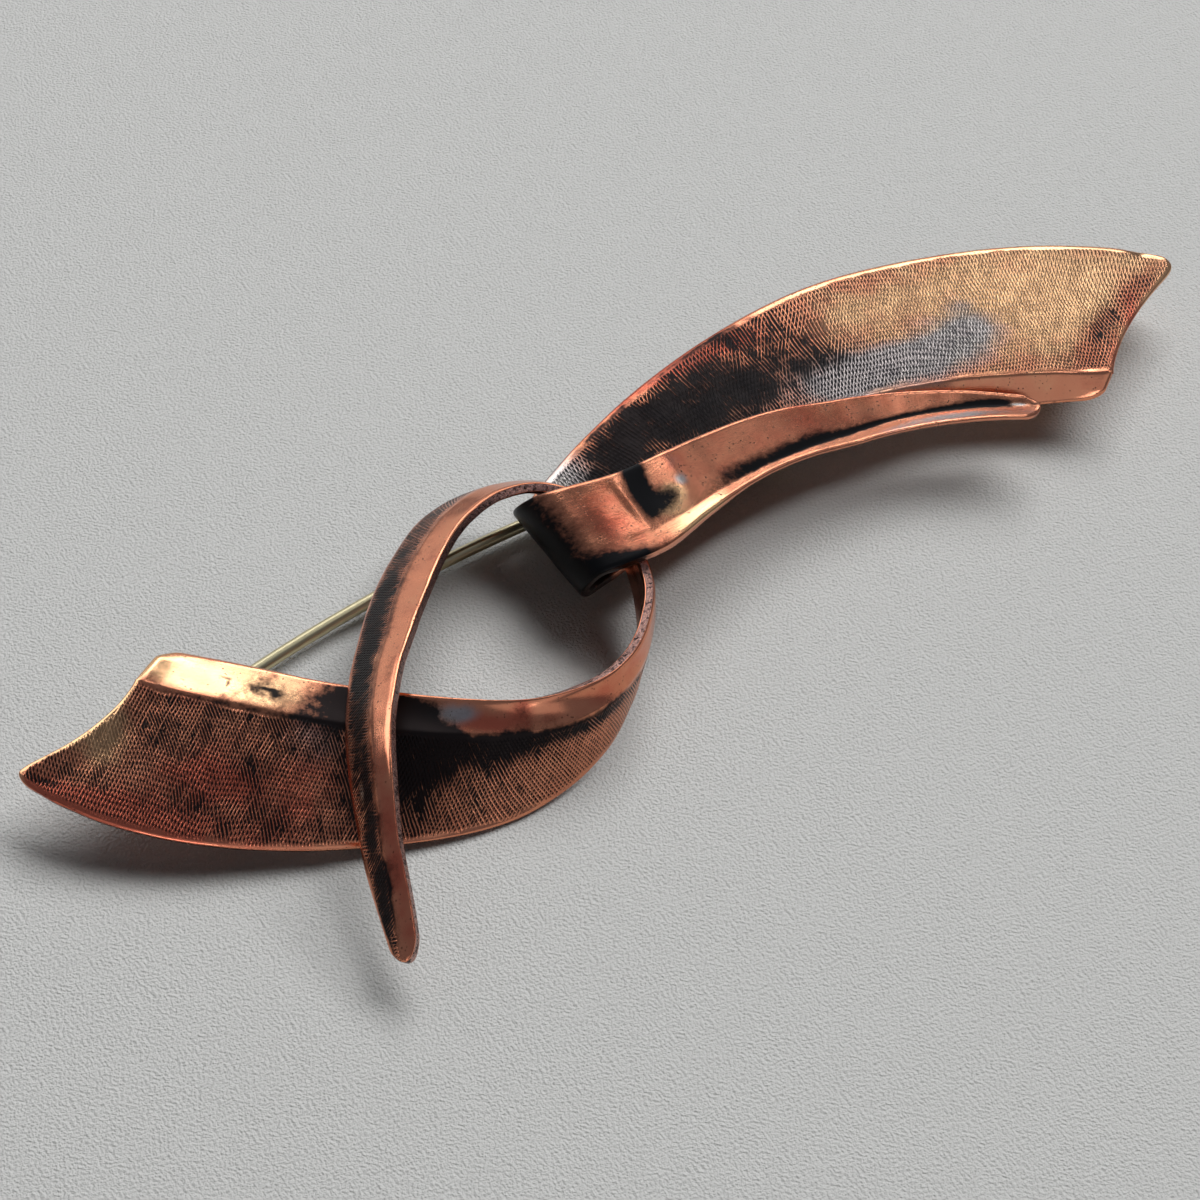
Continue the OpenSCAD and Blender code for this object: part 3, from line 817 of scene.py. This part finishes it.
# Roughness of the finishes
SMOOTH_ROUGH = 0.16
HATCHED_ROUGH = 0.24
OXIDE_ROUGH = 0.42
BACK_ROUGH = 0.18
BACK_OXIDE_ROUGH = 0.4
RIM_ROUGH = 0.22
BRASS_ROUGH = 0.16
DULL_BRASS_ROUGH = 0.3
FLOOR_ROUGH = 0.45

# How metallic black oxide is, and the depths of the finest marks
OXIDE_METALLIC = 0.9
SCRATCH_DEPTH = 0.004 * MM
BACK_SCRATCH_DEPTH = 0.006 * MM
PIT_DEPTH = 0.006 * MM
FILED_DEPTH = 0.15 * MM
DRAWN_DEPTH = 0.004 * MM
FLOOR_GRAIN = 0.16 * MM

# Strength of a hatched line: its own random share, what every line has, what it has more where it
# isn't worn, and the noise between which it wears. Sharpness is the power that narrows a ridge.
OWN_STRENGTH = 0.35
LEAST_STRENGTH = 0.2
UNWORN_STRENGTH = 0.85
WORN_RANGE = (0.33, 0.67)
RIDGE_SHARPNESS = 1.5


def line_set(tree, count, worn, seed):
    """Height, 0 to 1, of parallel ridges, one at each whole number of the count."""
    wave = math_node(tree, "COSINE", math_node(tree, "MULTIPLY", count, 2 * math.pi))
    ridge = math_node(tree, "MULTIPLY_ADD", wave, 0.5, 0.5)
    line = math_node(tree, "ROUND", count)
    own = node(tree, "TexWhiteNoise", {"W": math_node(tree, "ADD", line, seed)},
               noise_dimensions="1D")
    strength = math_node(tree, "MULTIPLY_ADD", own, OWN_STRENGTH, LEAST_STRENGTH)
    unworn = step(tree, worn, *WORN_RANGE)
    strength = math_node(tree, "MULTIPLY_ADD", unworn, UNWORN_STRENGTH, strength)
    ridge = math_node(tree, "POWER", ridge, RIDGE_SHARPNESS)
    return math_node(tree, "MULTIPLY", ridge, strength)


# How far in mm the lines wander slowly and shake, how high the crossing lines stand beside the
# main ones, how softly the two meet, and the seeds that set them apart
WANDER = 0.7
SHAKE = 0.1
CROSS_HEIGHT = 0.78
SOFT_MEETING = 0.1
MAIN_SEED = 3.0
CROSS_SEED = 31.0


def hatch_group():
    """Height of hand-cut hatching: two sets of lines that cross, with long pits left between."""
    pitch = settings().hatch.pitch
    group, given, result = new_group(
        "hatching", [("Strip", "Vector"), ("Lines", "Vector")], [("Height", "Float")])
    strip, lines = given["Strip"], given["Lines"]
    wander = noise(group, strip, WANDER_SCALE, 1, out=1)
    shake = noise(group, strip, SHAKE_SCALE, 2, out=1)
    moved = node(group, "VectorMath", [wander, (WANDER, WANDER, 0), lines],
                 operation="MULTIPLY_ADD")
    moved = node(group, "VectorMath", [shake, (SHAKE, SHAKE, 0), moved], operation="MULTIPLY_ADD")
    counts = node(group, "VectorMath", [moved, (MM / pitch, MM / pitch, 0)], operation="MULTIPLY")
    first, second, _ = split(group, counts)
    worn = noise(group, stretched(group, strip, *WORN_SCALE), 1.0, 5, 0.75)
    faint = noise(group, stretched(group, strip, *FAINT_SCALE), 1.0, 4, 0.7)
    main_lines = line_set(group, first, worn, MAIN_SEED)
    cross_lines = line_set(group, second, faint, CROSS_SEED)
    cross_lines = math_node(group, "MULTIPLY", cross_lines, CROSS_HEIGHT)
    height = math_node(group, "SMOOTH_MAX", main_lines, cross_lines, SOFT_MEETING)
    group.links.new(height, result["Height"])


def handling_group():
    """What handling leaves: scratches both ways, small pits, and clouds and grain of tarnish."""
    group, given, result = new_group(
        "handling", [("Strip", "Vector")],
        [("Scratches", "Float"), ("Pits", "Float"), ("Clouds", "Float"), ("Grain", "Float")])
    strip = given["Strip"]
    long = noise(group, stretched(group, strip, *LONG_SCRATCH_SCALE), 1.0, 2)
    cross = noise(group, stretched(group, strip, *CROSS_SCRATCH_SCALE), 1.0, 2)
    cross = math_node(group, "MULTIPLY", cross, CROSS_SCRATCH_SHARE)
    scratches = math_node(group, "ADD", long, cross)
    cells = node(group, "TexVoronoi", {"Vector": strip, "Scale": PIT_SCALE, "Randomness": 1.0})
    size = noise(group, strip, PIT_SIZE_SCALE, 2)
    pits = step(group, math_node(group, "MULTIPLY_ADD", size, UNEVEN_PITS, cells), *PIT_RANGE)
    group.links.new(scratches, result["Scratches"])
    group.links.new(pits, result["Pits"])
    group.links.new(noise(group, strip, CLOUD_SCALE, 4, 0.6), result["Clouds"])
    grain = noise(group, strip, GRAIN_SCALE, 3, 0.7)
    group.links.new(centred(group, grain, GRAIN_REACH), result["Grain"])


def fill_in(name, colour, rough, metallic, normal):
    """Fills in a material whose Principled shader takes the four given values."""
    material = bpy.data.materials[name]
    tree = material.node_tree
    shader = tree.nodes["Principled BSDF"]
    for key, feed in (("Base Color", colour), ("Roughness", rough), ("Metallic", metallic),
                      ("Normal", normal)):
        if isinstance(feed, bpy.types.NodeSocket):
            tree.links.new(feed, shader.inputs[key])
        else:
            shader.inputs[key].default_value = feed
    return material


def new_material(name):
    """Makes an empty material, and returns its node tree."""
    material = bpy.data.materials.new(name)
    material.use_nodes = True
    return material.node_tree


def attribute(tree, name):
    """A mesh attribute as a vector."""
    return node(tree, "Attribute", out=1, attribute_name=name)


def bump(tree, height, distance, normal=None):
    """A Bump node whose distance is in metres, laid over a finer one where its normal is given."""
    return node(tree, "Bump", {"Height": height, "Distance": distance, "Normal": normal})


def tarnish_and_painted_light(tree, oxide_and_painted_shade, red, patina_and_painted_reflection):
    """Colour of copper under a red or golden tarnish, blue-grey patina and black oxide; the same
    colours paint shade, highlights and reflections.
    """
    colours = settings().colours
    colour = mix_colour(tree, step(tree, red, 0.0, 1.0), tuple(colours.copper),
                        tuple(colours.red_copper))
    colour = mix_colour(tree, step(tree, red, 0.0, -1.0), colour, tuple(colours.gold_copper))
    colour = mix_colour(tree, patina_and_painted_reflection, colour, tuple(colours.patina_and_painted_reflection))
    return mix_colour(tree, oxide_and_painted_shade, colour, tuple(colours.oxide_and_painted_shade))


def front_finish():
    """Front of the sheet: hatched and oxidised past the crease, polished on the narrow side, with
    painted shade, highlights and reflections from its table.
    """
    tree = new_material("hatched_copper")
    strip = attribute(tree, "strip")
    _, across, filed = split(tree, strip)
    stain_and_painted_light, red, patina_and_painted_reflection = split(tree, attribute(tree, "stains_and_painted_light"))
    to_start, to_edge, _ = split(tree, attribute(tree, "edges"))
    handling = use_group(tree, "handling", {"Strip": strip})
    hatch = use_group(tree, "hatching", {"Strip": strip, "Lines": attribute(tree, "lines")})

    clouds = handling["Clouds"]
    blur = centred(tree, clouds, BLUR_REACH)
    hatched = step(tree, math_node(tree, "ADD", across, blur), *HATCH_RANGE)
    margin = math_node(tree, "ADD", to_edge, blur)
    margin = math_node(tree, "MULTIPLY_ADD", filed, FILED_MARGIN, margin)
    hatched = math_node(tree, "MULTIPLY", hatched, step(tree, margin, *MARGIN_RANGE))
    end = step(tree, math_node(tree, "ADD", to_start, blur), *END_RANGE)
    cut = math_node(tree, "MULTIPLY", hatched, end)

    uneven = centred(tree, clouds, UNEVEN_REACH)
    rubbed = step(tree, math_node(tree, "MINIMUM", to_edge, to_start), *RUBBED_RANGE)
    kept = mix_value(tree, cut, 1.0, HATCHED_GRAIN)
    grain = math_node(tree, "MULTIPLY", handling["Grain"], kept)
    film = math_node(tree, "ADD", stain_and_painted_light, math_node(tree, "ADD", uneven, grain))
    film = math_node(tree, "MULTIPLY_ADD", rubbed, -RUBBED_LOSS, film)
    relief = math_node(tree, "MULTIPLY", hatch["Height"], cut)
    film = math_node(tree, "MULTIPLY_ADD", relief, -RIDGE_LOSS, film)
    hollows = math_node(tree, "MULTIPLY_ADD", stain_and_painted_light, -HOLLOW_STAIN_AND_SHADE, hatch["Height"])
    pits = math_node(tree, "MULTIPLY", step(tree, hollows, *HOLLOW_RANGE), cut)
    # Under the gold tint the hollows stay bright; on the wide side that tint is a painted highlight
    pits = math_node(tree, "MULTIPLY", pits, step(tree, red, *BRIGHT_RANGE))
    film = step(tree, film, *FILM_RANGE)
    small_pits = math_node(tree, "MULTIPLY", handling["Pits"], PIT_SHARE)
    oxide_and_painted_shade = math_node(tree, "MAXIMUM", pits, math_node(tree, "MAXIMUM", film, small_pits))
    oxide_and_painted_shade = math_node(tree, "MINIMUM", oxide_and_painted_shade, OXIDE_AND_SHADE_SHARE)
    red = math_node(tree, "ADD", red, uneven)
    lip = math_node(tree, "MULTIPLY", step(tree, to_start, *LIP_RANGE), filed)
    red = math_node(tree, "SUBTRACT", red, lip)
    patina_and_painted_reflection = math_node(tree, "MULTIPLY_ADD", uneven, UNEVEN_PATINA, patina_and_painted_reflection)
    patina_and_painted_reflection = step(tree, patina_and_painted_reflection, *PATINA_AND_REFLECTION_RANGE)
    colour = tarnish_and_painted_light(tree, oxide_and_painted_shade, red, math_node(tree, "MULTIPLY", patina_and_painted_reflection, PATINA_AND_REFLECTION_SHARE))

    rough = mix_value(tree, hatched, SMOOTH_ROUGH, HATCHED_ROUGH)
    rough = mix_value(tree, oxide_and_painted_shade, rough, OXIDE_ROUGH)
    metallic = mix_value(tree, oxide_and_painted_shade, 1.0, OXIDE_METALLIC)
    fine = bump(tree, handling["Scratches"], SCRATCH_DEPTH)
    normal = bump(tree, relief, settings().hatch.depth, normal=fine)
    return fill_in("hatched_copper", colour, rough, metallic, normal)


def back_finish():
    """Back of the sheet: smooth and pitted, with the stain marks, painted shade and painted
    reflections of its table.
    """
    tree = new_material("smooth_back")
    strip = attribute(tree, "strip")
    stain_and_painted_light, red, patina_and_painted_reflection = split(tree, attribute(tree, "stains_and_painted_light"))
    handling = use_group(tree, "handling", {"Strip": strip})
    uneven = centred(tree, handling["Clouds"], UNEVEN_REACH)
    film = math_node(tree, "ADD", stain_and_painted_light, handling["Grain"])
    film = math_node(tree, "MULTIPLY_ADD", uneven, UNEVEN_BACK, film)
    small_pits = math_node(tree, "MULTIPLY", handling["Pits"], BACK_PIT_SHARE)
    oxide_and_painted_shade = math_node(tree, "MAXIMUM", step(tree, film, *FILM_RANGE), small_pits)
    red = math_node(tree, "ADD", red, uneven)
    patina_and_painted_reflection = math_node(tree, "MULTIPLY_ADD", uneven, UNEVEN_PATINA, patina_and_painted_reflection)
    patina_and_painted_reflection = step(tree, patina_and_painted_reflection, *BACK_PATINA_AND_REFLECTION_RANGE)
    colour = tarnish_and_painted_light(tree, oxide_and_painted_shade, red, math_node(tree, "MULTIPLY", patina_and_painted_reflection, PATINA_AND_REFLECTION_SHARE))
    rough = mix_value(tree, oxide_and_painted_shade, BACK_ROUGH, BACK_OXIDE_ROUGH)
    metallic = mix_value(tree, oxide_and_painted_shade, 1.0, OXIDE_METALLIC)
    normal = bump(tree, handling["Scratches"], BACK_SCRATCH_DEPTH)
    normal = bump(tree, handling["Pits"], -PIT_DEPTH, normal=normal)
    return fill_in("smooth_back", colour, rough, metallic, normal)


def rim_finish():
    """The sheet's edge, filed across and bright, black where the ribbon beside it is black with oxide
    and painted shade.
    """
    tree = new_material("filed_rim")
    strip = attribute(tree, "strip")
    stain_and_painted_light = split(tree, attribute(tree, "stains_and_painted_light"))[0]
    filed = split(tree, strip)[2]
    marks = noise(tree, node(tree, "TexCoord", out=3), FILED_SCALE, 4, 0.75)
    marks = math_node(tree, "MULTIPLY", marks, filed)
    dark = math_node(tree, "MULTIPLY_ADD", stain_and_painted_light, RIM_STAIN_AND_SHADE, marks)
    dark = step(tree, dark, *RIM_RANGE)
    colour = tarnish_and_painted_light(tree, math_node(tree, "MULTIPLY", dark, RIM_OXIDE_SHARE), marks,
                       math_node(tree, "MULTIPLY", filed, RIM_PATINA_SHARE))
    metallic = mix_value(tree, dark, 1.0, OXIDE_METALLIC)
    return fill_in("filed_rim", colour, RIM_ROUGH, metallic, bump(tree, marks, FILED_DEPTH))


def brass_finish():
    """Drawn brass of the pin's parts, with a thin tarnish."""
    tree = new_material("pin_brass")
    place = node(tree, "TexCoord", out=3)
    clouds = noise(tree, place, DULL_SCALE, 3)
    drawn = node(tree, "Mapping", {"Vector": place, "Scale": DRAWN_SCALE})
    lines = noise(tree, drawn, 1.0, 2)
    dull = step(tree, clouds, *DULL_RANGE)
    colours = settings().colours
    colour = mix_colour(tree, math_node(tree, "MULTIPLY", dull, DULL_SHARE),
                        tuple(colours.brass), tuple(colours.dull_brass))
    rough = mix_value(tree, dull, BRASS_ROUGH, DULL_BRASS_ROUGH)
    return fill_in("pin_brass", colour, rough, 1.0, bump(tree, lines, DRAWN_DEPTH))


def floor_finish():
    """Pale floor with a fine grain."""
    tree = new_material("pale_floor")
    grain = noise(tree, node(tree, "TexCoord", out=3), FLOOR_SCALE, 1)
    colour = tuple(settings().colours.floor)
    return fill_in("pale_floor", colour, FLOOR_ROUGH, 0.0, bump(tree, grain, FLOOR_GRAIN))


# Operators

class BROOCH_OT_finishes(bpy.types.Operator):
    """Builds the node groups and the materials of the metals"""
    bl_idname = "brooch.finishes"
    bl_label = "Finishes"

    def execute(self, context):
        hatch_group()
        handling_group()
        front_finish()
        back_finish()
        rim_finish()
        brass_finish()
        return {"FINISHED"}


class BROOCH_OT_looped_ribbon(bpy.types.Operator):
    """Models the ribbon that turns through a loop"""
    bl_idname = "brooch.looped_ribbon"
    bl_label = "Looped ribbon"

    def execute(self, context):
        ribbon = ribbon_mesh("looped_sheet", LOOPED_ROWS, len(LOOPED_ROWS), LOOPED_DENTS,
                             LOOPED_STAINS_AND_PAINTED_LIGHT, LOOPED_LEANS, filed=1.0, smooth_columns=30,
                             hatched_columns=66)
        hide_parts("looped_ribbon")
        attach(ribbon, "brooch")
        return {"FINISHED"}


class BROOCH_OT_folded_ribbon(bpy.types.Operator):
    """Models the ribbon that folds back over the loop"""
    bl_idname = "brooch.folded_ribbon"
    bl_label = "Folded ribbon"

    def execute(self, context):
        ribbon = ribbon_mesh("folded_sheet", FOLDED_ROWS, len(FOLDED_ROWS) - len(BAND_ROWS),
                             FOLDED_DENTS, FOLDED_STAINS_AND_PAINTED_LIGHT, FOLDED_LEANS, filed=0.25,
                             smooth_columns=28, hatched_columns=70)
        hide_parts("folded_ribbon")
        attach(ribbon, "brooch")
        return {"FINISHED"}


class BROOCH_OT_pin(bpy.types.Operator):
    """Gives the pin's parts their brass"""
    bl_idname = "brooch.pin"
    bl_label = "Pin"

    def execute(self, context):
        for name in ("pin_hinge", "hinge_rivet", "pin_stem", "pin_catch"):
            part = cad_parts[name]
            part.data.materials.clear()
            part.data.materials.append(bpy.data.materials["pin_brass"])
        return {"FINISHED"}


# Lights: bearing from +X and angle above the floor in degrees, distance, width and height in
# metres, and radiance. The key isn't seen mirrored, the mirrored ones are seen no other way, and
# the front light does both.
KEY_LIGHT = ("key", 24, 52, 2.0, 2.0, 1.0, 9.4)
MIRRORED_LIGHTS = [
    ("window", 51, 36, 1.9, 0.56, 0.32, 4.0),
    ("wall", 66, 46, 2.0, 0.72, 0.85, 1.6),
    ("sill", -130, 15, 2.0, 0.9, 0.6, 2.4),
    ("slit", 28, 63, 2.0, 0.3, 0.3, 3.0),
    ("glow", -18, 67, 2.0, 0.6, 0.35, 0.85),
    ("pane", 13, 47, 2.0, 0.5, 0.3, 0.5),
    ("back", 75, 18, 2.0, 2.2, 0.7, 0.5),
    ("lamp", 100, 42, 2.0, 1.1, 1.1, 2.1),
]
FRONT_LIGHT = ("front", -127, 31, 2.0, 2.0, 1.3, 0.3)

# The sky is only seen mirrored, which keeps the shadows deep
SKY_COLOUR = (0.92, 1.0, 1.2, 1)
SKY_STRENGTH = 0.16

# Side of the floor in metres, and how close to the camera the view starts
FLOOR_SIZE = 4
VIEW_START = 0.01


def area_light(name, bearing, rise, distance, width, height, radiance):
    """A soft light that faces the brooch, at a bearing from +X and an angle above the floor."""
    data = bpy.data.lights.new(name, "AREA")
    data.shape = "RECTANGLE"
    data.size, data.size_y = width, height
    data.energy = radiance * math.pi * width * height
    light = bpy.data.objects.new(name, data)
    bearing, rise = math.radians(bearing), math.radians(rise)
    place = distance * Vector((math.cos(rise) * math.cos(bearing),
                               math.cos(rise) * math.sin(bearing), math.sin(rise)))
    light.location = place
    light.rotation_euler = place.to_track_quat("Z", "Y").to_euler()
    bpy.context.scene.collection.objects.link(light)
    return light


class BROOCH_OT_stage(bpy.types.Operator):
    """Sets up the floor, the lights and the camera"""
    bl_idname = "brooch.stage"
    bl_label = "Stage"

    def execute(self, context):
        scene = context.scene
        bpy.ops.object.select_all(action="DESELECT")
        bpy.ops.mesh.primitive_plane_add(size=FLOOR_SIZE)
        floor = context.object
        floor.name = "floor"
        floor.data.materials.append(floor_finish())

        world = bpy.data.worlds.new("studio")
        world.use_nodes = True
        sky = world.node_tree.nodes["Background"]
        sky.inputs["Color"].default_value = SKY_COLOUR
        sky.inputs["Strength"].default_value = SKY_STRENGTH
        world.cycles_visibility.diffuse = False
        scene.world = world
        scene.view_settings.view_transform = "Standard"
        area_light(*KEY_LIGHT).visible_glossy = False
        for light in MIRRORED_LIGHTS:
            area_light(*light).visible_diffuse = False
        area_light(*FRONT_LIGHT)

        view = settings().stage
        bearing, rise = view.bearing, view.rise
        toward = Vector((math.sin(bearing) * math.cos(rise), -math.cos(bearing) * math.cos(rise),
                         math.sin(rise)))
        data = bpy.data.cameras.new("camera")
        data.angle = view.view
        data.clip_start = VIEW_START
        camera = bpy.data.objects.new("camera", data)
        camera.location = Vector(view.target) + toward * view.distance
        camera.rotation_euler = toward.to_track_quat("Z", "Y").to_euler()
        scene.collection.objects.link(camera)
        scene.camera = camera
        return {"FINISHED"}


class VIEW3D_PT_brooch(bpy.types.Panel):
    """Lists the settings and the steps of the brooch"""
    bl_label = "Brooch"
    bl_idname = "VIEW3D_PT_brooch"
    bl_space_type = "VIEW_3D"
    bl_region_type = "UI"
    bl_category = "Brooch"

    def draw(self, context):
        for group in (context.scene.brooch.ribbon, context.scene.brooch.hatch,
                      context.scene.brooch.colours, context.scene.brooch.stage):
            for name in group.bl_rna.properties.keys():
                if name not in ("rna_type", "name"):
                    self.layout.prop(group, name)
        for step_class in OPERATORS:
            self.layout.operator(step_class.bl_idname)


GROUPS = (RibbonSizes, HatchSizes, FinishColours, StageSizes, BroochSettings)
OPERATORS = (BROOCH_OT_finishes, BROOCH_OT_looped_ribbon, BROOCH_OT_folded_ribbon, BROOCH_OT_pin,
             BROOCH_OT_stage)


def register():
    for item in GROUPS + OPERATORS + (VIEW3D_PT_brooch,):
        bpy.utils.register_class(item)
    bpy.types.Scene.brooch = PointerProperty(type=BroochSettings)


def unregister():
    del bpy.types.Scene.brooch
    for item in reversed(GROUPS + OPERATORS + (VIEW3D_PT_brooch,)):
        bpy.utils.unregister_class(item)


def main():
    register()
    bpy.ops.brooch.finishes()
    bpy.ops.brooch.looped_ribbon()
    bpy.ops.brooch.folded_ribbon()
    bpy.ops.brooch.pin()
    bpy.ops.brooch.stage()


if __name__ == "__main__":
    main()
